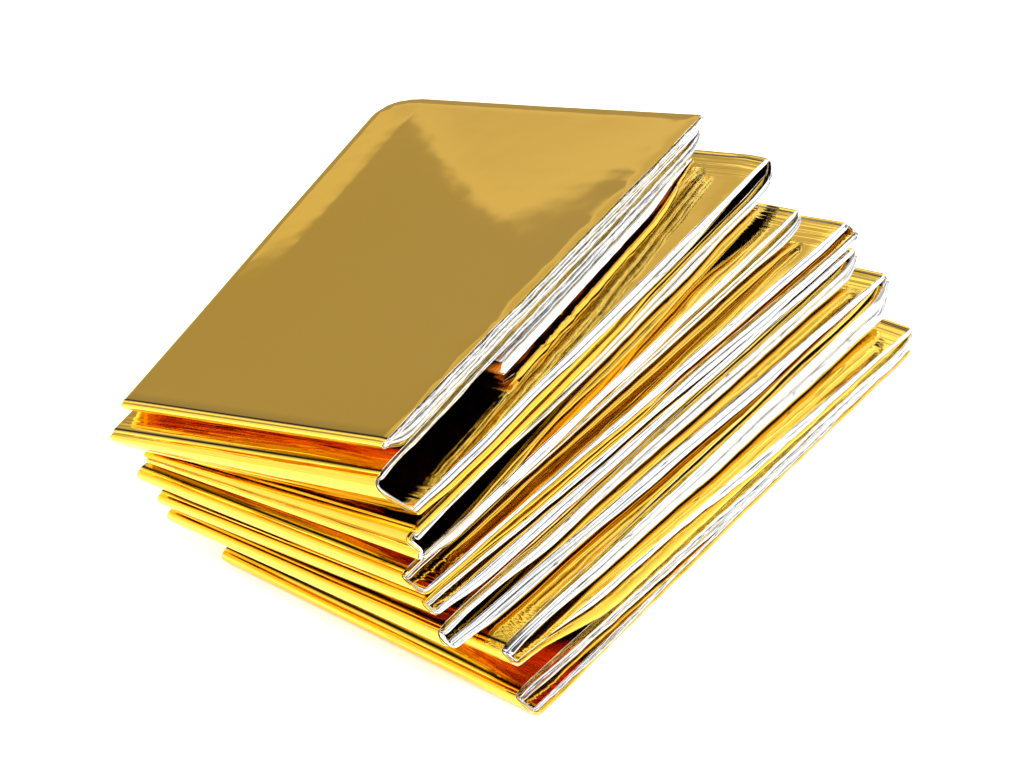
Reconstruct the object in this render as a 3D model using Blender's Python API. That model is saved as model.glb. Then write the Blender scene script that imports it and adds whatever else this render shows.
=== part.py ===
"""Emergency foil blanket, folded back and forth into a packet that fans open at its right end.

The blanket is one sheet. It is first folded lengthwise into a strip, and the strip is then folded
back and forth into sixteen layers. They lie tight on each other along the left end, and rise and
spread towards the right end. The solid is that back-and-forth section, carried across the strip.

Metres in the file's objects, millimetres in the tables. X runs across the strip from the tight end
to the open end, Y from the front folds to the rear folds, Z up.
"""
import math

import bmesh
import bpy

MM = 0.001

# Sizes of the strip, in millimetres
LAYER_THICKNESS = 1.2    # the pressed plies of one layer
LAYER_PITCH = 1.7        # from one layer to the next, along the tight left end
CORNER_RADIUS = 8.0      # rounded rear corner of the top layer
SOFT_DIP = 0.7           # dip in the middle of the top layer, fading towards the bottom one

# Fineness of the section and of its run across the strip
STEPS_ALONG_LAYER = 4
STEPS_ROUND_FOLD = 6
STATIONS = (0.0, 0.035, 0.08, 0.14, 0.3, 0.45, 0.6, 0.75, 0.88, 1.0)
SHARP_ANGLE = 50.0       # edges sharper than this, in degrees, stay crisp

# The strip's fold lines from the free edge on top to the free edge at the bottom, in millimetres.
# x and y place the left end, turn is the line's angle in degrees, lift is what the right end gains
# in height, open is the height of the fold's loop at the right end, and slip is how far the layer
# below stands out to the right of the layer above, also at the right end.
FOLD_COLUMNS = ("name", "x", "y", "turn", "width", "lift", "open", "slip")
FOLDS = (
    ("top_edge", -88.0, 53.0, 8.5, 73.0, 13.0, 0.0, 0.0),
    ("front_1", -55.5, -66.0, -0.5, 59.5, 17.5, 1.7, 0.0),
    ("rear_1", -79.0, 59.0, 2.0, 63.5, 12.5, 1.7, 0.0),
    ("front_2", -54.5, -70.0, 1.5, 62.0, 14.5, 4.4, 6.5),
    ("rear_2", -63.0, 60.5, 2.0, 63.0, 12.0, 4.8, 0.0),
    ("front_3", -49.0, -67.5, -2.5, 62.5, 11.5, 4.6, 2.0),
    ("rear_3", -52.0, 60.5, -3.0, 62.5, 10.5, 2.2, 0.0),
    ("front_4", -50.0, -69.0, -2.5, 63.5, 8.0, 1.8, 4.5),
    ("rear_4", -44.5, 63.0, 1.0, 63.5, 10.5, 1.8, 2.5),
    ("front_5", -45.5, -69.0, -2.5, 62.0, 8.0, 1.8, 2.5),
    ("rear_5", -42.0, 62.5, -1.0, 63.5, 10.5, 1.7, 0.0),
    ("front_6", -44.0, -68.5, -3.0, 63.5, 6.5, 2.6, 1.5),
    ("rear_6", -36.0, 64.5, 0.0, 63.5, 8.5, 1.7, 0.0),
    ("front_7", -36.0, -65.0, -0.5, 64.0, 5.5, 1.8, 3.0),
    ("rear_7", -29.0, 65.5, -1.5, 64.0, 2.0, 1.7, 0.0),
    ("front_8", -34.5, -65.5, 0.0, 65.5, 0.25, 2.2, 3.5),
    ("bottom_edge", -29.5, 65.5, 0.0, 64.0, 0.0, 0.0, 0.0),
)
LAYER_COUNT = len(FOLDS) - 1

FILM_COLOUR = (0.62, 0.40, 0.085, 1.0)
FILM_ROUGHNESS = 0.18


def fold_rows():
    """The fold table as one dictionary a row, with its middle height at the left end."""
    rows = [dict(zip(FOLD_COLUMNS, row)) for row in FOLDS]
    for index, row in enumerate(rows):
        above = max(index - 1, 0)
        below = min(index, LAYER_COUNT - 1)
        row["left_height"] = 0.5 * (layer_height(above) + layer_height(below))
    return rows


def layer_height(layer):
    """Height of a layer's middle along the tight left end."""
    return 0.5 * LAYER_THICKNESS + LAYER_PITCH * (LAYER_COUNT - 1 - layer)


def layer_end(rows, fold, side, across):
    """Where a layer's middle meets a fold line.

    side is +1 for the layer that comes down to the fold and -1 for the layer that leaves it below.
    """
    row = rows[fold]
    is_edge = fold in (0, LAYER_COUNT)
    turn = math.radians(row["turn"])
    reach = row["width"] * across
    x = row["x"] + reach * math.cos(turn) - 0.5 * side * row["slip"] * across
    y = row["y"] + reach * math.sin(turn)
    z = row["left_height"] + row["lift"] * across
    if not is_edge:
        z += 0.5 * side * (LAYER_PITCH + (row["open"] - LAYER_PITCH) * across)
    if fold == 0 and reach < CORNER_RADIUS:
        inset = CORNER_RADIUS - reach
        y -= CORNER_RADIUS - math.sqrt(CORNER_RADIUS ** 2 - inset ** 2)
    return (x, y, z)


def soft_dip(layer, along, across):
    """The middle of each layer sags a little, all layers alike and the bottom one not at all."""
    share = 1.0 - layer / (LAYER_COUNT - 1)
    return -SOFT_DIP * share * math.sin(math.pi * along) * math.sin(math.pi * across)


def section_path(rows, across):
    """Middle line of the whole strip at one station, from the top edge to the bottom edge."""
    path = []
    for layer in range(LAYER_COUNT):
        start = layer_end(rows, layer, -1, across)
        end = layer_end(rows, layer + 1, +1, across)
        for step in range(STEPS_ALONG_LAYER + 1):
            along = step / STEPS_ALONG_LAYER
            point = [a + (b - a) * along for a, b in zip(start, end)]
            point[2] += soft_dip(layer, along, across)
            path.append(tuple(point))
        if layer < LAYER_COUNT - 1:
            path.extend(fold_points(rows, layer + 1, across))
    return path


def fold_points(rows, fold, across):
    """Points of the half-round turn between two layers, without its two ends."""
    upper = layer_end(rows, fold, +1, across)
    lower = layer_end(rows, fold, -1, across)
    outward = -1.0 if fold % 2 else 1.0
    depth = 0.5 * (upper[2] - lower[2])
    points = []
    for step in range(1, STEPS_ROUND_FOLD):
        angle = math.pi * step / STEPS_ROUND_FOLD
        share = 0.5 * (1.0 - math.cos(angle))
        point = [a + (b - a) * share for a, b in zip(upper, lower)]
        point[1] += outward * depth * math.sin(angle)
        points.append(tuple(point))
    return points


def offset_pair(path, index):
    """The two surface points beside one point of the middle line, square to it in Y and Z."""
    before = path[max(index - 1, 0)]
    here = path[index]
    after = path[min(index + 1, len(path) - 1)]
    first = unit(here[1] - before[1], here[2] - before[2]) if index else None
    second = unit(after[1] - here[1], after[2] - here[2]) if index < len(path) - 1 else None
    first = first or second
    second = second or first
    run = unit(first[0] + second[0], first[1] + second[1])
    widen = 1.0 / max(run[0] * first[0] + run[1] * first[1], 0.7)
    step_y = -run[1] * 0.5 * LAYER_THICKNESS * widen
    step_z = run[0] * 0.5 * LAYER_THICKNESS * widen
    x, y, z = here
    return (x, y + step_y, z + step_z), (x, y - step_y, z - step_z)


def unit(y, z):
    length = math.hypot(y, z)
    return (y / length, z / length)


def blanket_mesh(name):
    """Closed mesh of the strip: rings of paired surface points, joined from station to station."""
    rows = fold_rows()
    mesh_data = bmesh.new()
    rings = []
    for across in STATIONS:
        path = section_path(rows, across)
        pairs = [offset_pair(path, index) for index in range(len(path))]
        outline = [pair[0] for pair in pairs] + [pair[1] for pair in reversed(pairs)]
        rings.append([mesh_data.verts.new([value * MM for value in point]) for point in outline])
    join_rings(mesh_data, rings)
    close_end(mesh_data, rings[0])
    close_end(mesh_data, rings[-1])
    bmesh.ops.triangulate(mesh_data, faces=mesh_data.faces[:])
    bmesh.ops.recalc_face_normals(mesh_data, faces=mesh_data.faces[:])
    mesh = bpy.data.meshes.new(name)
    mesh_data.to_mesh(mesh)
    mesh_data.free()
    return mesh


def join_rings(mesh_data, rings):
    for ring, following in zip(rings, rings[1:]):
        count = len(ring)
        for index in range(count):
            after = (index + 1) % count
            mesh_data.faces.new((ring[index], ring[after], following[after], following[index]))


def close_end(mesh_data, ring):
    """Side of the strip: one face between each two neighbouring pairs of the section."""
    count = len(ring)
    for index in range(count // 2 - 1):
        opposite = count - 1 - index
        mesh_data.faces.new((ring[index], ring[index + 1], ring[opposite - 1], ring[opposite]))


def film_material():
    """Gold metallised polyester film."""
    material = bpy.data.materials.new("gold_metallised_film")
    material.use_nodes = True
    shader = material.node_tree.nodes["Principled BSDF"]
    shader.inputs["Base Color"].default_value = FILM_COLOUR
    shader.inputs["Metallic"].default_value = 1.0
    shader.inputs["Roughness"].default_value = FILM_ROUGHNESS
    return material


def remove_objects():
    for scene_object in list(bpy.data.objects):
        bpy.data.objects.remove(scene_object, do_unlink=True)


def build_blanket():
    """The folded blanket, moved so that its outline is centred on the origin."""
    mesh = blanket_mesh("foil_blanket")
    for axis in (0, 1):
        values = [vertex.co[axis] for vertex in mesh.vertices]
        middle = 0.5 * (min(values) + max(values))
        for vertex in mesh.vertices:
            vertex.co[axis] -= middle
    mesh.materials.append(film_material())
    mesh.shade_smooth()
    mesh.set_sharp_from_angle(angle=math.radians(SHARP_ANGLE))
    blanket = bpy.data.objects.new("foil_blanket", mesh)
    bpy.context.scene.collection.objects.link(blanket)
    return blanket


remove_objects()
build_blanket()
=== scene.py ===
"""Looks of the folded emergency foil blanket: thin metallised film on the frame's folds.

Metres in the objects, millimetres in the tables. The strip runs back and forth through the fold
table. Gold film wraps it, and inside lie plies that are folded over along the open right end,
where they show as rounded ribbons, the outermost gold and the others silver. A loose inner fold
shows between the third and the fourth layer.
"""
import math

import bpy
import numpy as np
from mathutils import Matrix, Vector


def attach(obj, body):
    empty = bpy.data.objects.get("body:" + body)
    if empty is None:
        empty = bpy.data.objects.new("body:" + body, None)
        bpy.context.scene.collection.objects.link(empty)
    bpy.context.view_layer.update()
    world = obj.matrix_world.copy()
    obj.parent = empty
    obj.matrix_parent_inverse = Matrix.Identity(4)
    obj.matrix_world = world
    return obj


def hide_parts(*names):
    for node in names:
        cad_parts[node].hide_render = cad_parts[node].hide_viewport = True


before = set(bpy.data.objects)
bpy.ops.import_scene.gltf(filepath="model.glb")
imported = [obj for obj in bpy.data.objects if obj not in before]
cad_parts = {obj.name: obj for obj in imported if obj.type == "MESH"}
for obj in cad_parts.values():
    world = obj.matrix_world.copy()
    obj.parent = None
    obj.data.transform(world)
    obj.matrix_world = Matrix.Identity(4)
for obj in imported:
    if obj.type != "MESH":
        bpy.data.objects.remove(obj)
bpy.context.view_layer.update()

MM = 0.001

# The camera that took the photo, in millimetres unless a name says pixels
IMAGE_WIDTH_PIXELS = 1024
FOCAL_PIXELS = 2184.0
SENSOR_WIDTH = 36.0
CLIP_START = 10.0
CAMERA_TURN = 35.4       # degrees from the front towards the open end
CAMERA_RISE = 35.4       # degrees above the surface
CAMERA_DISTANCE = 400.0
CAMERA_TARGET = (19.0, -11.7, 20.0)

# The strip, in millimetres, as its solid in the frame has it
FRAME_MIDDLE = (-26.511, -3.387, 0.0)    # where the frame's origin lies in the fold table
LAYER_THICKNESS = 1.2
LAYER_PITCH = 1.7
CORNER_RADIUS = 8.0
SOFT_DIP = 0.7
FOLD_COLUMNS = ("name", "x", "y", "turn", "width", "lift", "open", "slip")
FOLDS = (
    ("top_edge", -88.0, 53.0, 8.5, 73.0, 13.0, 0.0, 0.0),
    ("front_1", -55.5, -66.0, -0.5, 59.5, 17.5, 1.7, 0.0),
    ("rear_1", -79.0, 59.0, 2.0, 63.5, 12.5, 1.7, 0.0),
    ("front_2", -54.5, -70.0, 1.5, 62.0, 14.5, 4.4, 6.5),
    ("rear_2", -63.0, 60.5, 2.0, 63.0, 12.0, 4.8, 0.0),
    ("front_3", -49.0, -67.5, -2.5, 62.5, 11.5, 4.6, 2.0),
    ("rear_3", -52.0, 60.5, -3.0, 62.5, 10.5, 2.2, 0.0),
    ("front_4", -50.0, -69.0, -2.5, 63.5, 8.0, 1.8, 4.5),
    ("rear_4", -44.5, 63.0, 1.0, 63.5, 10.5, 1.8, 2.5),
    ("front_5", -45.5, -69.0, -2.5, 62.0, 8.0, 1.8, 2.5),
    ("rear_5", -42.0, 62.5, -1.0, 63.5, 10.5, 1.7, 0.0),
    ("front_6", -44.0, -68.5, -3.0, 63.5, 6.5, 2.6, 1.5),
    ("rear_6", -36.0, 64.5, 0.0, 63.5, 8.5, 1.7, 0.0),
    ("front_7", -36.0, -65.0, -0.5, 64.0, 5.5, 1.8, 3.0),
    ("rear_7", -29.0, 65.5, -1.5, 64.0, 2.0, 1.7, 0.0),
    ("front_8", -34.5, -65.5, 0.0, 65.5, 0.25, 2.2, 3.5),
    ("bottom_edge", -29.5, 65.5, 0.0, 64.0, 0.0, 0.0, 0.0),
)
ROWS = [dict(zip(FOLD_COLUMNS, row)) for row in FOLDS]
LAYER_COUNT = len(ROWS) - 1
STRIP_WIDTH = 64.0
LAYER_LENGTH = 131.0

# How the film lies in a layer, in millimetres
UPPER_RUN = 1.2          # how far behind a fold the layer above it reaches its full height
LOWER_RUN = 9.0          # the same for the layer below it, which comes up to meet it
NOSE_DEPTH = 0.75        # how far a fold bulges, as a share of half its height
NOSE_FLATNESS = 0.65     # power of its rounding: 1 is an ellipse, less is flatter in front
FULL_STACK = 0.80        # half the height of a layer's plies where nothing presses them
LEAST_STACK = 0.34       # and where their neighbours leave them least room
FOLD_STACK = 0.40        # half the height of the plies right at a fold
EDGE_STACK = 0.11        # the same at the strip's free edges, away from the open end
EDGE_PINCH_RUN = 3.0     # how far from a free edge its plies begin to lie closer
DROOP_RUN = 3.2          # how far behind a front fold the layer above it starts to bend down
DROOP = 0.45             # and by how much
LAYER_CLEARANCE = 0.14   # left free between two layers
FLOOR_CLEARANCE = 0.12   # left free below the lowest film
PUFF = 1.4               # how far the plies puff up into a gap that opens to the front, at most
PUFF_RUN = 3.0           # how far behind the front folds they do so in full
FILM_WALL = 0.08         # the film's thickness, more than real so that its edges show
EDGE_REACH = 6.0         # how far in from the open end the plies crumple
SAG_REACH = 13.0         # how far in from the open end they hang down to the layer below
SAG_FULL_SHARE = 0.3     # share of that reach, next to the end, where they hang in full
SAG_LEAST_RAMP = 3.0     # how far past an open gap they reach the layer below
WEDGE_START = 0.15       # share of an open gap's length that keeps its full height
GOLD_FADE = (85.0, 40.0)         # distances from the front fold where gold turns into front_gold
EDGE_PINCH_ACROSS = (0.6, 0.7)   # places across the strip where the free edges' pinch ends
CREASED_RUN = 14.0       # how far from a fold the film has creases along the fold
CREASED_FULL_RUN = 1.0   # and how far it has them in full
CREASED_LAYER = (0.4, 0.9)       # the top layer is smooth, and from the next one on it has them
# A thin line of painted shade just above each fold: a dark colour put where shade falls
FOLD_SHADE_AT = 1.1         # where the painted shade line above a fold runs, behind the fold
FOLD_SHADE_HALF_WIDTH = 0.30
FOLD_SHADE_PEAK = 1.5       # its middle is cut off at 1, so that the painted shade is at full darkness for some width
STEP_OUT_LEAST = 0.2     # how far a lowest ply always stands out
BESIDE_REACH = 1.0       # how far a layer is carried on past its open end to measure a gap
BESIDE_RISE = 0.2        # and how much it rises there
QUIET_RUN = 8.0          # how far from a fold the wave along the open end has its full height
OVERHANG_START = 0.80    # place across where a film begins to shift outwards
SHARP_ANGLE = 50.0       # edges sharper than this, in degrees, stay crisp
NEAR_FOLD = (0.0, 0.15, 0.4, 0.75, 0.95, 1.25, 1.5, 4.0)    # rows close to a fold, from the fold

# How each layer's plies lie, from the top layer down. front and rear tell how far the gap below
# it stays open behind the front fold and before the rear fold; elsewhere the lower plies hang down
# and close it, and shut is the share that they close all along. left is the share of the fold's
# height that is left at the layer's lower end, gold and front_gold are the shares of the plies'
# height that show gold at the rear and at the front, crumple tells how creased the plies are, and
# reach how far the lowest ply may stand out.
PLY_COLUMNS = ("front", "rear", "shut", "left", "gold", "front_gold", "crumple", "reach")
PLIES = (
    (0.0, 0.0, 0.0, 0.12, 0.22, 0.22, 0.60, 0.7),
    (4.0, 0.0, 0.0, 0.60, 0.22, 0.22, 0.50, 0.5),
    (200.0, 0.0, 0.0, 0.94, 0.22, 0.22, 0.45, 0.5),
    (8.0, 34.0, 0.0, 0.90, 0.22, 0.40, 0.05, 1.4),
    (56.0, 0.0, 0.40, 0.94, 0.26, 0.48, 0.06, 1.2),
    (8.0, 0.0, 0.0, 0.80, 0.22, 0.22, 0.03, 2.6),
    (36.0, 0.0, 0.0, 0.90, 0.22, 0.22, 0.05, 1.0),
    (8.0, 8.0, 0.0, 0.80, 0.22, 0.40, 0.08, 1.6),
    (20.0, 0.0, 0.0, 0.85, 0.22, 0.36, 0.08, 1.4),
    (8.0, 0.0, 0.0, 0.80, 0.24, 0.24, 0.06, 2.4),
    (28.0, 0.0, 0.0, 0.92, 0.22, 0.22, 0.05, 1.0),
    (8.0, 0.0, 0.0, 0.80, 0.22, 0.22, 0.06, 2.0),
    (24.0, 0.0, 0.0, 0.85, 0.22, 0.22, 0.10, 1.6),
    (26.0, 0.0, 0.0, 0.80, 0.36, 0.48, 0.25, 1.4),
    (14.0, 0.0, 0.0, 0.85, 0.22, 0.22, 0.38, 1.6),
    (0.0, 0.0, 0.0, 1.00, 0.40, 0.40, 0.45, 0.5),
)
PLY_ROWS = [dict(zip(PLY_COLUMNS, row)) for row in PLIES]

# The two front loops whose faces lean inwards, the lower one over a tight roll at its foot: share
# of the way down and how far it stands out, as a share of half the loop's height
UPPER_LEANING_FOLD = 3
LOWER_LEANING_FOLD = 5
LEANING_COLUMNS = ("down", "out")
LEANING_FACES = {
    UPPER_LEANING_FOLD: ((0.0, 0.0), (0.03, 0.45), (0.08, 0.72), (0.16, 0.85), (0.32, 0.86),
                         (0.50, 0.68), (0.75, 0.38), (0.90, 0.18), (1.0, 0.0)),
    LOWER_LEANING_FOLD: ((0.0, 0.0), (0.03, 0.50), (0.10, 0.88), (0.40, 0.54), (0.72, 0.12),
                         (0.80, 0.22), (0.90, 0.44), (0.97, 0.28), (1.0, 0.0)),
}

# Marks on the top layer: place across and along it as shares, radius and depth in millimetres
DENT_COLUMNS = ("name", "across", "along", "radius", "depth")
DENTS = (
    ("front_left_dent", 0.06, 0.965, 2.2, 0.16),
    ("left_dimple", 0.16, 0.53, 2.0, 0.05),
)
LEFT_CREASE = 0.115      # place across the top layer of the soft crease along its left side
LEFT_TILT = 0.030        # slope that the film gains to the left of it
LEFT_CREASE_END = (0.45, 0.8)    # places along the layer where that slope fades out
EDGE_ROLL = 0.16         # how much the top layer rolls down along its right edge, in millimetres
EDGE_ROLL_START = 0.97   # place across where the roll begins

# Waves along the strip, in millimetres: each film's edge and the whole open end rise and fall
WAVE_COLUMNS = ("wavelength", "height", "seed")
SHARED_WAVES = ((9.0, 0.10, 100), (3.7, 0.05, 101))
SHARED_WAVE_LEAST = 0.35         # share of it in an uncreased layer
SHARED_WAVE_BY_CRUMPLE = 1.3     # and what creasing adds
SHARED_WAVE_MOST = 1.2
GOLD_EDGE_WAVE = (14.0, 0.12, 5)
GOLD_EDGE_INSET = 0.1    # how far the gold film's edge stays back, on average


def linear(hex_colour):
    """Linear colour of an sRGB hex value."""
    channels = [int(hex_colour[i:i + 2], 16) / 255.0 for i in (1, 3, 5)]
    linear_rgb = [c / 12.92 if c <= 0.04045 else ((c + 0.055) / 1.055) ** 2.4 for c in channels]
    return (*linear_rgb, 1.0)


def smoothstep(low, high, value):
    """0 at low, 1 at high and an even blend between; low may be the larger of the two."""
    t = np.clip((value - low) / (high - low), 0.0, 1.0)
    return t * t * (3.0 - 2.0 * t)


def layer_height(layer):
    """Height of a layer's middle along the tight left end."""
    return 0.5 * LAYER_THICKNESS + LAYER_PITCH * (LAYER_COUNT - 1 - layer)


def is_turned(fold):
    """Whether the strip turns at this fold line; the first and the last are its free edges."""
    return 0 < fold < LAYER_COUNT


def loop_height(fold, across):
    """Height of a fold's loop, which opens towards the right end."""
    return LAYER_PITCH + (ROWS[fold]["open"] - LAYER_PITCH) * across


def layer_end(fold, side, across):
    """Points where a layer's middle meets a fold line, for an array of places across the strip.

    side is +1 for the layer that comes down to the fold and -1 for the layer that leaves it below.
    """
    row = ROWS[fold]
    turn = math.radians(row["turn"])
    reach = row["width"] * across
    above = layer_height(max(fold - 1, 0))
    below = layer_height(min(fold, LAYER_COUNT - 1))
    x = row["x"] + reach * math.cos(turn) - 0.5 * side * row["slip"] * across
    y = row["y"] + reach * math.sin(turn)
    z = 0.5 * (above + below) + row["lift"] * across
    if is_turned(fold):
        z = z + 0.5 * side * loop_height(fold, across)
    return np.stack([x, y, z], axis=-1)


def layer_points(layer, along, across):
    """Middle of one layer, before its folds press it: a grid over along and across."""
    start = layer_end(layer, -1, across)
    end = layer_end(layer + 1, +1, across)
    along = np.repeat(along[:, None], len(across), axis=1)
    if layer == 0:
        inset = np.clip(CORNER_RADIUS - STRIP_WIDTH * across, 0.0, CORNER_RADIUS)
        cut = CORNER_RADIUS - np.sqrt(CORNER_RADIUS ** 2 - inset ** 2)
        along = along + (1.0 - along) * (cut / LAYER_LENGTH)[None, :]
    points = start[None] + (end - start)[None] * along[:, :, None]
    share = 1.0 - layer / (LAYER_COUNT - 1)
    points[:, :, 2] -= SOFT_DIP * share * np.sin(np.pi * along) * np.sin(np.pi * across)[None, :]
    points[:, :, 2] += top_relief(layer, along, across)
    return points


def rounded(gap, run):
    """Rise of a rounded fold with the distance behind it, from 0 to 1."""
    return np.sqrt(1.0 - (1.0 - np.clip(gap / run, 0.0, 1.0)) ** 2)


def room_beside(plain, layer, other):
    """Height between the middles of two layers, at the same X, over a layer's grid."""
    if not 0 <= other < LAYER_COUNT:
        return np.full(plain[layer].shape[:2], 2.0 * FULL_STACK + LAYER_CLEARANCE)
    here, there = plain[layer], plain[other][::-1]
    room = np.empty(here.shape[:2])
    for row in range(len(room)):
        beyond = there[row, -1, 0] + BESIDE_REACH
        xs = np.append(there[row, :, 0], beyond)
        zs = np.append(there[row, :, 2], there[row, -1, 2] + BESIDE_RISE)
        room[row] = np.abs(np.interp(here[row, :, 0], xs, zs) - here[row, :, 2])
    return room


class Strip:
    """Middle surface of the whole strip, sampled along it and at the given places across it.

    points and square are the surface and the unit square to it, whose side is called outer.
    outer and inner are the heights of the plies to that side and to the other.
    """

    def __init__(self, steps_along, steps_round, across):
        self.across = across
        near = np.array(NEAR_FOLD) / LAYER_LENGTH
        along = np.concatenate([near[:-1], np.linspace(near[-1], 1.0 - near[-1], steps_along),
                                1.0 - near[-2::-1]])
        plain = [layer_points(layer, along, across) for layer in range(LAYER_COUNT)]
        parts = [self.pressed_layer(plain, layer, along) for layer in range(LAYER_COUNT)]
        rows = []
        for layer, part in enumerate(parts):
            rows.append(part)
            if layer < LAYER_COUNT - 1:
                rows.append(self.turn_round(layer + 1, part, parts[layer + 1], steps_round))
        for key in ("points", "outer", "inner", "facing", "gap", "above", "layer", "step_out",
                    "gold"):
            setattr(self, key, np.concatenate([row[key] for row in rows]))
        tangent = np.gradient(self.points, axis=0)[:, :, 1:]
        tangent /= np.linalg.norm(tangent, axis=2, keepdims=True) + 1e-9
        self.square = np.stack(
            [0.0 * tangent[:, :, 0], tangent[:, :, 1], -tangent[:, :, 0]], axis=2)
        steps = np.linalg.norm(np.diff(self.points[:, len(across) // 2], axis=0), axis=1)
        self.run = np.concatenate([[0.0], np.cumsum(steps)])

    def fold_creases(self):
        """How strongly the film is creased along its folds, for each row; the top stays smooth."""
        near = smoothstep(CREASED_RUN, CREASED_FULL_RUN, self.gap)
        return near * smoothstep(*CREASED_LAYER, self.layer)

    def pressed_line(self):
        """Where the film gets a line of painted shade just above its folds, for each row, from 0
        to 1.
        """
        line = FOLD_SHADE_PEAK * np.exp(-((self.gap - FOLD_SHADE_AT) / FOLD_SHADE_HALF_WIDTH) ** 2)
        return self.above * np.minimum(line, 1.0)

    def by_layer(self, column):
        """A column of the ply table along the strip, blended round the folds."""
        return np.interp(self.layer, np.arange(LAYER_COUNT), [row[column] for row in PLY_ROWS])

    def pressed_layer(self, plain, layer, along):
        """One layer with its plies' heights, squeezed thin at its folds."""
        across = self.across
        points = plain[layer].copy()
        above = room_beside(plain, layer, layer - 1)
        below = room_beside(plain, layer, layer + 1)
        up = np.clip(0.5 * (above - LAYER_CLEARANCE), LEAST_STACK, FULL_STACK)
        down = np.clip(0.5 * (below - LAYER_CLEARANCE), LEAST_STACK, FULL_STACK)
        downward = layer % 2 == 0
        to_front = LAYER_LENGTH * (1.0 - along if downward else along)
        to_rear = LAYER_LENGTH - to_front
        from_end = STRIP_WIDTH * (1.0 - across)
        near_end = smoothstep(SAG_REACH, SAG_FULL_SHARE * SAG_REACH, from_end)
        front_room = above if downward else below
        puff = np.clip(0.5 * (front_room - LAYER_CLEARANCE) - FULL_STACK, 0.0, PUFF)
        puff = puff * (smoothstep(0.0, PUFF_RUN, to_front)
                       * smoothstep(0.0, 3.0 * PUFF_RUN, to_rear))[:, None] * (1.0 - near_end)
        if layer < LAYER_COUNT - 1:
            front, rear, shut = (PLY_ROWS[layer][key] for key in ("front", "rear", "shut"))
            closed = (smoothstep(WEDGE_START * front, front + SAG_LEAST_RAMP, to_front)
                      * smoothstep(WEDGE_START * rear, rear + SAG_LEAST_RAMP, to_rear))
            closed = shut + (1.0 - shut) * closed
            spare = np.maximum(below - LAYER_CLEARANCE - 2.0 * down, 0.0)
            down = down + spare * closed[:, None] * near_end[None, :]
        row = PLY_ROWS[layer]
        gold = row["gold"] + (row["front_gold"] - row["gold"]) * smoothstep(*GOLD_FADE, to_front)
        gap = np.full(len(along), LAYER_LENGTH)
        pinch_end = smoothstep(*EDGE_PINCH_ACROSS, across)
        edge_stack = EDGE_STACK + (FOLD_STACK - EDGE_STACK) * pinch_end
        for fold, side, near in ((layer, -1, along < 0.5), (layer + 1, +1, along >= 0.5)):
            distance = LAYER_LENGTH * (along if side < 0 else 1.0 - along)
            if not is_turned(fold):
                pinch = near[:, None] * (1.0 - rounded(distance, EDGE_PINCH_RUN))[:, None]
                down = down + (edge_stack - down) * pinch
                up = up + (edge_stack - up) * pinch
                continue
            gap = np.where(near, distance, gap)
            height = loop_height(fold, across)[None, :]
            lost = height * (1.0 - PLY_ROWS[fold - 1]["left"])
            thin = near[:, None] * (1.0 - rounded(distance, UPPER_RUN))[:, None]
            lift = near[:, None] * (1.0 - smoothstep(0.0, LOWER_RUN, distance))[:, None]
            if side > 0:
                bent = (1.0 - np.clip(distance / DROOP_RUN, 0.0, 1.0)) ** 2 * near
                bent = bent * DROOP * (fold % 2) * (fold > 1) * (fold != LOWER_LEANING_FOLD)
                points[:, :, 2] += (up - FOLD_STACK) * thin - bent[:, None]
            else:
                points[:, :, 2] += lost * lift + (up - FOLD_STACK) * thin
            down = down + (FOLD_STACK - down) * thin
            up = up + (FOLD_STACK - up) * thin
        if downward:
            up = up + puff
        else:
            down = down + puff
        following = plain[min(layer + 1, LAYER_COUNT - 1)][::-1]
        step_out = np.clip(following[:, -1, 0] - plain[layer][:, -1, 0], 0.0, None)
        return {"points": points, "outer": up if downward else down,
                "inner": down if downward else up, "gap": gap,
                "above": 1.0 * (along >= 0.5),
                "step_out": np.minimum(step_out, row["reach"]) + STEP_OUT_LEAST, "gold": gold,
                "facing": np.full(len(along), 1.0 if downward else -1.0),
                "layer": np.full(len(along), float(layer))}

    @staticmethod
    def turn_round(fold, upper, lower, steps):
        """The turn between two layers, without its two ends."""
        turn = np.pi * np.arange(1, steps) / steps
        share = (0.5 - 0.5 * np.cos(turn))[:, None]
        out = NOSE_DEPTH * np.sin(turn) ** NOSE_FLATNESS
        if fold in LEANING_FACES:
            face = dict(zip(LEANING_COLUMNS, np.transpose(LEANING_FACES[fold])))
            out = np.interp(share[:, 0], face["down"], face["out"])
        start, end = upper["points"][-1], lower["points"][0]
        points = start[None] + (end - start)[None] * share[:, :, None]
        outward = -1.0 if fold % 2 else 1.0
        half_height = 0.5 * (start[:, 2] - end[:, 2])
        points[:, :, 1] += outward * out[:, None] * half_height[None, :]
        row = {key: upper[key][-1][None] * (1.0 - share) + lower[key][0][None] * share
               for key in ("outer", "inner")}
        for key in ("step_out", "gold"):
            row[key] = np.linspace(upper[key][-1], lower[key][0], len(turn))
        return {"points": points, "gap": 0.0 * turn, "above": 0.0 * turn, **row,
                "facing": np.cos(turn) * upper["facing"][-1],
                "layer": upper["layer"][-1] + share[:, 0]}


def wavy(values, wavelength, seed):
    """Smooth noise along a line, between about -1 and 1."""
    rng = np.random.default_rng(seed)
    heights = rng.uniform(-1.0, 1.0, int(values.max() / wavelength) + 4)
    place = values / wavelength
    index = np.floor(place).astype(int)
    part = place - index
    part = part * part * (3.0 - 2.0 * part)
    return heights[index] * (1.0 - part) + heights[index + 1] * part


def wave_along(run, row):
    """One row of a wave table along the strip, in millimetres."""
    wave = dict(zip(WAVE_COLUMNS, row))
    return wave["height"] * wavy(run, wave["wavelength"], wave["seed"])


def shared_wave(strip):
    """Rise and fall that all plies of the strip share along the open end, in millimetres."""
    wave = sum(wave_along(strip.run, row) for row in SHARED_WAVES)
    share = SHARED_WAVE_LEAST + SHARED_WAVE_BY_CRUMPLE * strip.by_layer("crumple")
    return wave * np.clip(share, 0.0, SHARED_WAVE_MOST)


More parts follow.
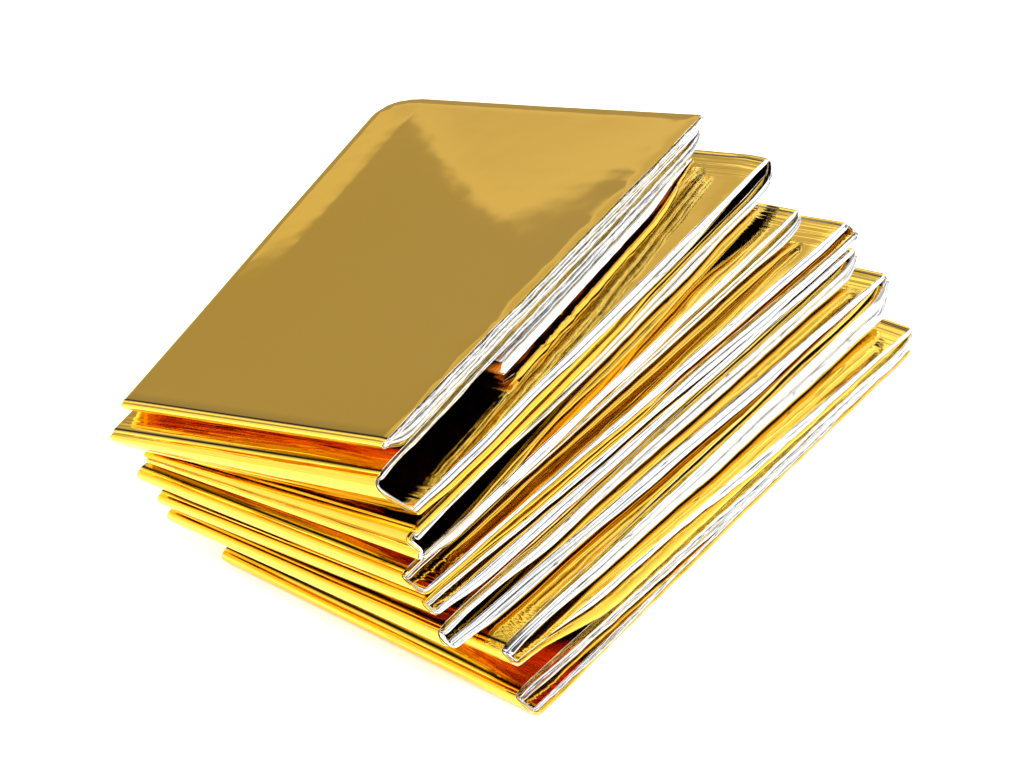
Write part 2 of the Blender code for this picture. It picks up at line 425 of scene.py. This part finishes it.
def top_relief(layer, along, across):
    """Soft crease and dents of the top layer, in millimetres upwards."""
    if layer > 0:
        return 0.0
    left = STRIP_WIDTH * LEFT_TILT * np.clip(LEFT_CREASE - across, 0.0, None)[None, :]
    relief = left * (1.0 - smoothstep(*LEFT_CREASE_END, along))
    rolled = np.clip((across - EDGE_ROLL_START) / (1.0 - EDGE_ROLL_START), 0.0, 1.0)
    relief = relief - EDGE_ROLL * rolled[None, :] ** 2
    for row in DENTS:
        dent = dict(zip(DENT_COLUMNS, row))
        x = STRIP_WIDTH * (across - dent["across"])[None, :]
        y = LAYER_LENGTH * (along - dent["along"])
        relief = relief - dent["depth"] * np.exp(-(x ** 2 + y ** 2) / dent["radius"] ** 2)
    return relief


def section_points(strip, columns, depth, bulge, overhang, lift):
    """Points of a film whose section is given by columns across, depth in the stack and bulge.

    depth goes from 0 at the outer face to 1 at the inner face, bulge is in millimetres to the
    right, overhang is how far the section stands out at the open end, and lift is in millimetres
    for each step along the strip.
    """
    middle = strip.points[:, columns]
    square = strip.square[:, columns]
    outer, inner = strip.outer[:, columns], strip.inner[:, columns]
    inward = STRIP_WIDTH * (1.0 - strip.across[columns])
    at_edge = np.exp(-2.0 * inward / EDGE_REACH)[None, :]
    quiet = smoothstep(0.0, QUIET_RUN, strip.gap)[:, None]
    rise = outer - depth * (outer + inner) + lift[:, None] * at_edge * quiet
    points = middle + square * rise[:, :, None]
    shift = overhang * smoothstep(OVERHANG_START, 1.0, strip.across[columns])[None, :]
    near, far = strip.points[:, -3], strip.points[:, -4]    # inwards of the rolled edge
    slope = (near[:, 2] - far[:, 2]) / (near[:, 0] - far[:, 0])
    points[:, :, 0] += shift + bulge
    points[:, :, 2] += shift * slope[:, None]
    points[:, :, 2] = np.maximum(points[:, :, 2], FLOOR_CLEARANCE)
    return points


def grid_mesh(name, points, u_values, v_values, **by_row):
    """Mesh of a grid of points in millimetres, with its own map: across and along, in metres.

    by_row holds a value for each row of points, and each becomes an attribute of the mesh.
    """
    rows, columns = points.shape[:2]
    corner = np.arange(rows * columns).reshape(rows, columns)
    faces = np.stack([corner[:-1, :-1], corner[1:, :-1], corner[1:, 1:], corner[:-1, 1:]], axis=-1)
    mesh = bpy.data.meshes.new(name)
    mesh.from_pydata(((points - FRAME_MIDDLE) * MM).reshape(-1, 3).tolist(), [],
                     faces.reshape(-1, 4).tolist())
    film_map = mesh.uv_layers.new(name="film")
    loop_corners = np.empty(len(mesh.loops), dtype=np.int32)
    mesh.loops.foreach_get("vertex_index", loop_corners)
    flat_map = np.stack(np.broadcast_arrays(u_values[None, :], v_values[:, None]), axis=-1) * MM
    film_map.data.foreach_set("uv", flat_map.reshape(-1, 2)[loop_corners].ravel())
    for attribute, values in by_row.items():
        layer = mesh.attributes.new(attribute, "FLOAT", "POINT")
        layer.data.foreach_set("value", np.repeat(values, columns).astype(np.float32))
    mesh.shade_smooth()
    piece = bpy.data.objects.new(name, mesh)
    bpy.context.scene.collection.objects.link(piece)
    return piece


def give_wall(piece, face_material, back_material):
    """Film's thickness: its face keeps the first material, its back and rim take the second."""
    piece.data.materials.append(face_material)
    piece.data.materials.append(back_material)
    wall = piece.modifiers.new("wall", "SOLIDIFY")
    wall.thickness = FILM_WALL * MM
    wall.offset = -1.0
    wall.use_even_offset = False
    wall.material_offset = 1
    wall.material_offset_rim = 1
    bpy.context.view_layer.update()
    evaluated = piece.evaluated_get(bpy.context.evaluated_depsgraph_get())
    finished = bpy.data.meshes.new_from_object(evaluated)
    piece.modifiers.clear()
    piece.data = finished
    finished.set_sharp_from_angle(angle=math.radians(SHARP_ANGLE))
    return piece


def add_node(tree, kind, settings=None, **sockets):
    """Adds a node, sets its properties and its sockets, and links sockets given as outputs."""
    node = tree.nodes.new(kind)
    for key, value in (settings or {}).items():
        setattr(node, key, value)
    for key, value in sockets.items():
        socket = (node.inputs[int(key[2:])] if key.startswith("in") and key[2:].isdigit()
                  else node.inputs[key.replace("_", " ")])
        if isinstance(value, bpy.types.NodeSocket):
            tree.links.new(value, socket)
        else:
            socket.default_value = value
    return node


def ramp(tree, value, stops, tint=(1.0, 1.0, 1.0)):
    """Brightness over a value, from pairs of place and brightness; tint colours the dim ones."""
    node = add_node(tree, "ShaderNodeValToRGB", in0=value)
    elements = node.color_ramp.elements
    while len(elements) < len(stops):
        elements.new(0.5)
    for element, (place, brightness) in zip(elements, stops):
        element.position = place
        share = tint if brightness < 1.0 else (1.0, 1.0, 1.0)
        element.color = (*(brightness * part for part in share), 1.0)
    return node.outputs["Color"]


def stretched_noise(tree, film_map, across, along, detail):
    """Noise on the film's own map, with its grain's size across and along in millimetres."""
    place = add_node(tree, "ShaderNodeMapping", Vector=film_map.outputs["UV"],
                     Scale=(1.0 / (across * MM), 1.0 / (along * MM), 1.0))
    return add_node(tree, "ShaderNodeTexNoise", {"noise_dimensions": "2D"},
                    Vector=place.outputs["Vector"], Scale=1.0, Detail=detail, Roughness=0.5)


# near-black colour of the painted shade line above the folds
FOLD_SHADE_PAINT_COLOUR = "#140d04"
COAT_ROUGHNESS = 0.03

# Bumps of the film, in millimetres: grain across and along the strip, and depth. The last two are
# as strong as the attribute of the same name says
BUMP_COLUMNS = ("name", "across", "along", "depth")
BUMPS = (
    ("swell", 14.0, 17.0, 0.05),
    ("crumple", 0.35, 4.0, 0.20),
    ("creased", 45.0, 1.3, 0.22),
)
BUMP_DETAIL = 2.0


def film_material(name, colour, roughness, coat):
    """Metallised polyester film: a mirror that is never quite flat.

    The metal layer is smooth, so the sheen is tight, and creases show as bent reflections: a very
    soft swell all over, short creases where the crumple attribute says so, and creases along the
    folds where creased does. Its colour is painted near black, as painted shade, along a thin line
    above the folds where the fold shade attribute says so.
    """
    material = bpy.data.materials.new(name)
    material.use_nodes = True
    tree = material.node_tree
    shader = tree.nodes["Principled BSDF"]
    # painted shade: the base colour turns near black along the line above each fold
    pressed = add_node(tree, "ShaderNodeAttribute", {"attribute_name": "pressed"})
    base = add_node(tree, "ShaderNodeMix", {"data_type": "RGBA"}, in0=pressed.outputs["Fac"],
                    in6=linear(colour), in7=linear(FOLD_SHADE_PAINT_COLOUR))
    tree.links.new(base.outputs[2], shader.inputs["Base Color"])
    shader.inputs["Metallic"].default_value = 1.0
    shader.inputs["Roughness"].default_value = roughness
    shader.inputs["Coat Weight"].default_value = coat
    shader.inputs["Coat Roughness"].default_value = COAT_ROUGHNESS
    film_map = add_node(tree, "ShaderNodeUVMap", {"uv_map": "film"})
    normal = {}
    for bump in (dict(zip(BUMP_COLUMNS, row)) for row in BUMPS):
        strength = 1.0
        if bump["name"] != "swell":
            strength = add_node(tree, "ShaderNodeAttribute",
                                {"attribute_name": bump["name"]}).outputs["Fac"]
        grain = stretched_noise(tree, film_map, bump["across"], bump["along"], BUMP_DETAIL)
        node = add_node(tree, "ShaderNodeBump", Strength=strength, Distance=bump["depth"] * MM,
                        Height=grain.outputs[0], **normal)
        normal = {"Normal": node.outputs["Normal"]}
    tree.links.new(normal["Normal"], shader.inputs["Normal"])
    return material


# Painted shade on the crumpled silver: dark fine lines in its creases and darker patches where it
# is crumpled, both standing for light that the crumpled film fails to mirror. Grain across and
# along the strip in millimetres and detail of their noise, and pairs of its value and brightness
CREASE_SHADE_LINE_GRAIN = (0.8, 45.0, 1.0)
CRUMPLE_SHADE_GRAIN = (0.3, 2.6, 4.0)
CREASE_SHADE_LINES = ((0.0, 1.0), (0.455, 1.0), (0.47, 0.30), (0.485, 1.0), (0.56, 1.0), (0.57, 0.55),
              (0.58, 1.0))
CRUMPLE_SHADE = ((0.0, 0.12), (0.41, 0.34), (0.51, 0.90), (1.0, 1.0))


def paint_crease_shade(material):
    """Paints shade onto a silver film where it is crumpled: darker fine lines for folds too tight
    to mirror the light, and darker patches for the crumpled film's shaded reflections."""
    tree = material.node_tree
    shader = tree.nodes["Principled BSDF"]
    film_map = add_node(tree, "ShaderNodeUVMap", {"uv_map": "film"})
    crumple = add_node(tree, "ShaderNodeAttribute", {"attribute_name": "crumple"}).outputs["Fac"]
    long = stretched_noise(tree, film_map, *CREASE_SHADE_LINE_GRAIN)
    lines = ramp(tree, long.outputs[0], CREASE_SHADE_LINES)
    patches = stretched_noise(tree, film_map, *CRUMPLE_SHADE_GRAIN)
    crumple_shade = ramp(tree, patches.outputs[0], CRUMPLE_SHADE)
    # painted shade of the creases and crumpled patches, as strong as the crumple attribute says
    tone = add_node(tree, "ShaderNodeMix", {"data_type": "RGBA", "blend_type": "MULTIPLY"},
                    in0=crumple, in6=lines, in7=crumple_shade)
    film_colour = shader.inputs["Base Color"].links[0].from_socket
    coloured = add_node(tree, "ShaderNodeMix", {"data_type": "RGBA", "blend_type": "MULTIPLY"},
                        in0=1.0, in6=film_colour, in7=tone.outputs[2])
    tree.links.new(coloured.outputs[2], shader.inputs["Base Color"])
    return material


def floor_material():
    """White paper sweep, matt."""
    material = bpy.data.materials.new("white_paper")
    material.use_nodes = True
    shader = material.node_tree.nodes["Principled BSDF"]
    shader.inputs["Base Color"].default_value = linear("#f6f6f6")
    shader.inputs["Roughness"].default_value = 0.9
    return material


# Places across the strip where the films have their points. Both end alike, since the slope that
# a film's shift follows at the open end is taken between its third and fourth place from there
GOLD_ACROSS = np.array([0.0, 0.015, 0.04, 0.075, 0.11, 0.125, 0.25, 0.5, 0.75, 0.88, 0.94, 0.97,
                        0.985, 1.0])
RIBBON_ACROSS = np.array([0.70, 0.80, 0.88, 0.94, 0.97, 0.985, 1.0])
LEFT_ROUND_STEPS = 3
RIBBON_ROUND_STEPS = 6
STEPS_ALONG = 74
STEPS_ROUND = 12


def gold_film(gold, silver):
    """The outer sheet: gold out, folded round the strip's left end."""
    strip = Strip(STEPS_ALONG, STEPS_ROUND, GOLD_ACROSS)
    inner = np.arange(len(GOLD_ACROSS))
    turn = np.pi * np.arange(1, LEFT_ROUND_STEPS + 1) / (LEFT_ROUND_STEPS + 1)
    columns = np.concatenate([inner[::-1], 0 * turn.astype(int), inner])
    depth = np.concatenate([0.0 * inner, 0.5 - 0.5 * np.cos(turn), 0.0 * inner + 1.0])
    half_stack = 0.5 * (strip.outer + strip.inner)[:, columns]
    bulge = -np.concatenate([0.0 * inner, np.sin(turn), 0.0 * inner]) * half_stack
    overhang = wave_along(strip.run, GOLD_EDGE_WAVE)[:, None] - GOLD_EDGE_INSET
    points = section_points(strip, columns, depth, bulge, overhang, shared_wave(strip))
    mapped = STRIP_WIDTH * GOLD_ACROSS[columns] * np.sign(0.5 - depth + 1e-6)
    # the fold shade attribute carries the painted shade line above the folds
    piece = grid_mesh("gold_film", points[:, ::-1], mapped[::-1], strip.run,
                      creased=strip.fold_creases(), pressed=strip.pressed_line())
    return give_wall(piece, gold, silver)


PLY_GAP = 0.04           # between two plies, as a share of their height
PLY_MARGIN = 0.03        # between the gold film and the plies in it, in millimetres
THIN_PLY = (0.32, 0.24)  # shares of the height at which a ply begins to count as thin, and fully
THIN_PLY_INSET = 0.9     # how far a thin ply stays back from the open end
PLY_LONG_WAVE = (17.0, 0.30)         # wavelength and height of the plies' edges
PLY_SHORT_WAVE = (3.3, 0.05, 0.16)   # the same, and what creasing adds to the height
PLY_ROUND_LENGTH = 0.7   # half the film's length round a ply's fold
PLY_MAP_STEP = 11.0      # from one ply to the next on the film's map


def folded_ply(name, place, seed, material):
    """An inner sheet, folded over along the open end. place counts from the outer face: the first
    sheet shows gold and the two others silver."""
    strip = Strip(STEPS_ALONG, STEPS_ROUND, RIBBON_ACROSS)
    inner = np.arange(len(RIBBON_ACROSS))
    turn = np.pi * np.arange(1, RIBBON_ROUND_STEPS) / RIBBON_ROUND_STEPS
    columns = np.concatenate([inner, 0 * turn.astype(int) + inner[-1], inner[::-1]])
    rounding = np.concatenate([0.0 * inner + 1.0, np.cos(turn), 0.0 * inner - 1.0])
    height = (strip.outer + strip.inner)[:, columns]
    margin = (FILM_WALL + PLY_MARGIN) / height
    gold_share = strip.gold[:, None]
    start, end = ((0.0 * gold_share, gold_share), (gold_share, 0.5 + 0.5 * gold_share),
                  (0.5 + 0.5 * gold_share, 0.0 * gold_share + 1.0))[place]
    room = 1.0 - 2.0 * margin
    middle = margin + room * 0.5 * (start + end)
    half = room * (0.5 * (end - start) - PLY_GAP)
    bulge = np.concatenate([0.0 * inner, np.sin(turn), 0.0 * inner]) * half * height
    under = 0.5 + (middle - 0.5) * strip.facing[:, None]
    crumple = strip.by_layer("crumple")
    long_length, long_height = PLY_LONG_WAVE
    short_length, short_height, short_by_crumple = PLY_SHORT_WAVE
    short_height = short_height + short_by_crumple * crumple
    waver = (long_height * wavy(strip.run, long_length, seed)
             + short_height * wavy(strip.run, short_length, seed + 1))
    shrunk = THIN_PLY_INSET * smoothstep(*THIN_PLY, end - start)
    overhang = strip.step_out[:, None] * under + waver[:, None] - shrunk
    points = section_points(strip, columns, middle - half * rounding, bulge, overhang,
                            shared_wave(strip))
    mapped = (STRIP_WIDTH * strip.across[columns] + PLY_ROUND_LENGTH * (1.0 - rounding)
              + PLY_MAP_STEP * place)
    piece = grid_mesh(name, points, mapped, strip.run, crumple=crumple)
    return give_wall(piece, material, material)


# The loose inner fold that shows between the third and the fourth layer, from its upper side
# outwards: how far it stands out beyond the third layer and its height in the gap, as a share
FLAP_COLUMNS = ("name", "out", "rise")
SILVER_FLAP = (
    ("upper_side", -9.0, 0.93), ("upper_lip", 1.7, 0.86), ("upper_round", 2.7, 0.76),
    ("round", 3.3, 0.56), ("lower_round", 3.2, 0.38), ("lower_lip", 2.4, 0.28),
    ("lower_side", -9.0, 0.26),
)
GOLD_FLAP = (
    ("root", -9.0, 0.10), ("under_the_fold", 1.4, 0.05), ("valley", 2.6, 0.0),
    ("slope", 3.6, 0.09), ("crest", 4.6, 0.22), ("lip", 4.9, 0.19), ("edge", 5.3, 0.03),
)
FLAP_LAYER = 2
FLAP_START = 0.03        # along the third layer from its rear fold, as a share
FLAP_END = 0.70
FLAP_STEPS = 90
FLAP_RAGGED = 0.018      # how unevenly it is cut off at its front end, as a share
FLAP_NARROW = 0.22       # share of its width that it has at the rear end
FLAP_WIDENED = 0.25      # place along the layer where it has its full width
FLAP_RAISED = 0.12       # how far along from its start it has its full height
FLAP_LOW = 0.35          # share of its height that it has at its start
FLAP_WAVES = (5.0, 2.1)  # wavelengths of its waver, in millimetres
FLAP_WAVER_OUT = 0.14    # and how far that goes outwards, at full reach
FLAP_WAVER_UP = 0.05     # and upwards
FLAP_FULL_REACH = 5.0
FLAP_CLEARANCE = 0.12    # above the layer below it
FLAP_HEADROOM = 0.3      # below the layer above it
FLAP_CRUMPLE = 0.03


def heights_at(layer, xs):
    """Height of a layer's middle at one X in each of its rows."""
    return np.array([np.interp(x, row[:, 0], row[:, 2]) for row, x in zip(layer, xs)])


def inner_flap(name, section, seed, face, back):
    """One sheet of the loose inner fold, cut off unevenly at its front end."""
    rows = [dict(zip(FLAP_COLUMNS, row)) for row in section]
    out = np.array([row["out"] for row in rows])
    rise = np.array([row["rise"] for row in rows])
    rng = np.random.default_rng(seed)
    ragged = FLAP_RAGGED * rng.uniform(-1.0, 1.0, len(rows))
    points = np.empty((FLAP_STEPS, len(rows), 3))
    across = np.linspace(0.5, 1.0, 11)
    share = np.linspace(0.0, 1.0, FLAP_STEPS)
    for column in range(len(rows)):
        along = FLAP_START + (FLAP_END + ragged[column] - FLAP_START) * share
        edge = layer_points(FLAP_LAYER, along, np.array([1.0]))[:, 0]
        below = layer_points(FLAP_LAYER + 1, 1.0 - along, across)
        place = LAYER_LENGTH * along
        waver = wavy(place, FLAP_WAVES[0], seed + 7) + wavy(place, FLAP_WAVES[1], seed)
        narrow = FLAP_NARROW + (1.0 - FLAP_NARROW) * smoothstep(0.0, FLAP_WIDENED, along)
        x = edge[:, 0] + out[column] * np.where(out[column] > 0, narrow, 1.0)
        x += FLAP_WAVER_OUT * waver * max(out[column], 0.0) / FLAP_FULL_REACH
        floor = heights_at(below, x)
        room = edge[:, 2] - heights_at(below, edge[:, 0]) - 2.0 * FULL_STACK - FLAP_HEADROOM
        ends = FLAP_LOW + (1.0 - FLAP_LOW) * smoothstep(0.0, FLAP_RAISED, along - FLAP_START)
        z = (floor + FULL_STACK + FLAP_CLEARANCE + rise[column] * room * ends
             + FLAP_WAVER_UP * waver)
        points[:, column] = np.stack([x, edge[:, 1], z], axis=-1)
    run = LAYER_LENGTH * (FLAP_END - FLAP_START) * share
    lengths = np.hypot(np.diff(out), 2.0 * np.diff(rise))
    mapped = STRIP_WIDTH + np.concatenate([[0.0], np.cumsum(lengths)])
    piece = grid_mesh(name, points, mapped, run, crumple=0.0 * run + FLAP_CRUMPLE)
    return give_wall(piece, face, back), (float(lengths.sum()), float(run[-1]))


def dress(piece):
    """Ties a sheet to the frame."""
    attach(piece, "root")
    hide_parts("foil_blanket")


def build_blanket():
    """All six sheets of the blanket in their two films."""
    gold = film_material("gold_metallised_polyester", colour="#ecc548", roughness=0.055, coat=0.05)
    # the silver film gets painted shade in its creases and crumpled patches
    silver = paint_crease_shade(film_material("silver_metallised_polyester", colour="#f4f5f6",
                                        roughness=0.10, coat=0.0))
    dress(gold_film(gold, silver))
    dress(folded_ply("gold_ply_outer", 0, 31, gold))
    dress(folded_ply("silver_ply_middle", 1, 57, silver))
    dress(folded_ply("silver_ply_inner", 2, 83, silver))
    for name, section, seed, face in (("silver_inner_fold", SILVER_FLAP, 3, silver),
                                      ("gold_inner_fold", GOLD_FLAP, 11, gold)):
        piece, (width, length) = inner_flap(name, section, seed, face, silver)
        dress(piece)


FLOOR_HALF = 1.5         # half the side of the paper sweep, in metres


def build_floor():
    half = FLOOR_HALF
    mesh = bpy.data.meshes.new("floor")
    mesh.from_pydata([(-half, -half, 0), (half, -half, 0), (half, half, 0), (-half, half, 0)],
                     [], [(0, 1, 2, 3)])
    mesh.materials.append(floor_material())
    floor = bpy.data.objects.new("floor", mesh)
    bpy.context.scene.collection.objects.link(floor)


def camera_direction():
    """Unit vector from the blanket to the camera."""
    turn, rise = math.radians(CAMERA_TURN), math.radians(CAMERA_RISE)
    return Vector((math.sin(turn) * math.cos(rise), -math.cos(turn) * math.cos(rise),
                   math.sin(rise)))


def build_camera():
    data = bpy.data.cameras.new("camera")
    data.sensor_width = SENSOR_WIDTH
    data.lens = SENSOR_WIDTH * FOCAL_PIXELS / IMAGE_WIDTH_PIXELS
    data.clip_start = CLIP_START * MM
    camera = bpy.data.objects.new("camera", data)
    camera.location = (Vector(CAMERA_TARGET) + camera_direction() * CAMERA_DISTANCE) * MM
    camera.rotation_euler = camera_direction().to_track_quat("Z", "Y").to_euler()
    bpy.context.scene.collection.objects.link(camera)
    bpy.context.scene.camera = camera


# The room that the film mirrors. Places are the sine of the height above the horizon, or half
# turns from the right, anticlockwise as seen from above where no other way is said. The values are
# brightness for around, rear and wall by height, how much higher the softbox's edge lies for the
# stand, and shares for the others
ROOM_TINT = (1.0, 0.885, 0.74)    # warm tone of its dimmer parts
AROUND_BY_HEIGHT = ((0.0, 1.4), (0.45, 1.5), (0.72, 1.1), (0.86, 0.45), (1.0, 0.6))
REAR_BY_HEIGHT = ((0.0, 0.50), (0.258, 0.48), (0.270, 0.86), (0.33, 0.70), (0.40, 0.70),
                  (0.48, 1.6), (0.66, 1.6), (0.78, 0.4), (1.0, 0.6))
REAR_BY_TURN = ((0.0, 0.0), (0.48, 0.0), (0.62, 1.0), (0.86, 1.0), (0.97, 0.0), (1.0, 0.0))
STAND_BY_TURN = ((0.0, 0.0), (0.752, 0.0), (0.758, 0.08), (0.84, 0.08), (0.87, 0.0), (1.0, 0.0))
WALL_BY_HEIGHT = ((0.0, 1.6), (0.25, 1.5), (0.42, 0.85), (0.60, 0.66), (0.64, 1.2), (0.80, 0.9),
                  (1.0, 0.6))
WALL_BY_CLOCKWISE_TURN = ((0.0, 0.0), (0.06, 0.0), (0.20, 1.0), (0.40, 1.0), (0.54, 0.0),
                          (1.0, 0.0))
CEILING_BY_HEIGHT = ((0.0, 0.0), (0.72, 0.0), (0.76, 1.0), (0.94, 1.0), (0.98, 0.0))
CEILING_LEFT = (-0.15, -0.35)     # where it begins and is full, as the sine towards the right
CEILING_COLOUR = (0.05, 0.05, 0.05, 1.0)


def build_world():
    """Pale studio: white low down and around, with a dimmer rear left side that the top of the
    blanket mirrors, the lower edge of a big softbox on that side, and a dimmer wall opposite."""
    world = bpy.data.worlds.new("studio")
    bpy.context.scene.world = world
    world.use_nodes = True
    tree = world.node_tree
    background = tree.nodes["Background"]
    direction = add_node(tree, "ShaderNodeTexCoord").outputs["Generated"]
    parts = add_node(tree, "ShaderNodeSeparateXYZ", Vector=direction)
    turn = add_node(tree, "ShaderNodeMath", {"operation": "ARCTAN2"},
                    in0=parts.outputs["Y"], in1=parts.outputs["X"])
    half_turns = add_node(tree, "ShaderNodeMath", {"operation": "DIVIDE"},
                          in0=turn.outputs[0], in1=math.pi).outputs[0]
    # a stand in front of the softbox: its lower edge lies higher there
    stand = ramp(tree, half_turns, STAND_BY_TURN)
    height = parts.outputs["Z"]
    behind = add_node(tree, "ShaderNodeMath", {"operation": "SUBTRACT"}, in0=height, in1=stand)
    around = ramp(tree, height, AROUND_BY_HEIGHT)
    rear = ramp(tree, behind.outputs[0], REAR_BY_HEIGHT, ROOM_TINT)
    side = ramp(tree, half_turns, REAR_BY_TURN)
    mix = add_node(tree, "ShaderNodeMix", {"data_type": "RGBA"}, in0=side, in6=around, in7=rear)
    # dimmer wall in front on the right, which the top mirrors when it is seen from behind
    wall = ramp(tree, height, WALL_BY_HEIGHT, ROOM_TINT)
    clockwise = add_node(tree, "ShaderNodeMath", {"operation": "MULTIPLY"}, in0=half_turns,
                         in1=-1.0).outputs[0]
    ahead = ramp(tree, clockwise, WALL_BY_CLOCKWISE_TURN)
    mix = add_node(tree, "ShaderNodeMix", {"data_type": "RGBA"}, in0=ahead, in6=mix.outputs[2],
                   in7=wall)
    # dark ceiling on the left, which draws the thin dark line along every front fold
    ceiling = ramp(tree, height, CEILING_BY_HEIGHT)
    leftward = add_node(tree, "ShaderNodeMapRange", Value=parts.outputs["X"],
                        From_Min=CEILING_LEFT[0], From_Max=CEILING_LEFT[1], To_Min=0.0, To_Max=1.0)
    dark = add_node(tree, "ShaderNodeMath", {"operation": "MULTIPLY"}, in0=ceiling,
                    in1=leftward.outputs["Result"])
    final = add_node(tree, "ShaderNodeMix", {"data_type": "RGBA"}, in0=dark.outputs[0],
                     in6=mix.outputs[2], in7=CEILING_COLOUR)
    tree.links.new(final.outputs[2], background.inputs["Color"])


# Softboxes that light the paper. The film doesn't mirror them. Metres and watts
LIGHT_COLUMNS = ("name", "location", "target", "side", "power")
LIGHTS = (
    ("softbox_top", (0.1, -0.1, 1.1), (0.0, 0.0, 0.0), 0.9, 18.0),
    ("softbox_left", (-0.7, -0.5, 0.4), (-0.05, -0.05, 0.0), 0.8, 13.0),
)


def build_softbox(row):
    data = bpy.data.lights.new(row["name"], "AREA")
    data.shape = "RECTANGLE"
    data.size = row["side"]
    data.size_y = row["side"]
    data.energy = row["power"]
    light = bpy.data.objects.new(row["name"], data)
    light.location = row["location"]
    facing = Vector(row["location"]) - Vector(row["target"])
    light.rotation_euler = facing.to_track_quat("Z", "Y").to_euler()
    light.visible_glossy = False
    bpy.context.scene.collection.objects.link(light)


bpy.context.scene.view_settings.view_transform = "Standard"
# Light goes to and fro many times in the gaps between the folds
bpy.context.scene.cycles.max_bounces = 16
bpy.context.scene.cycles.glossy_bounces = 9
build_camera()
build_world()
build_floor()
for light_row in LIGHTS:
    build_softbox(dict(zip(LIGHT_COLUMNS, light_row)))
build_blanket()
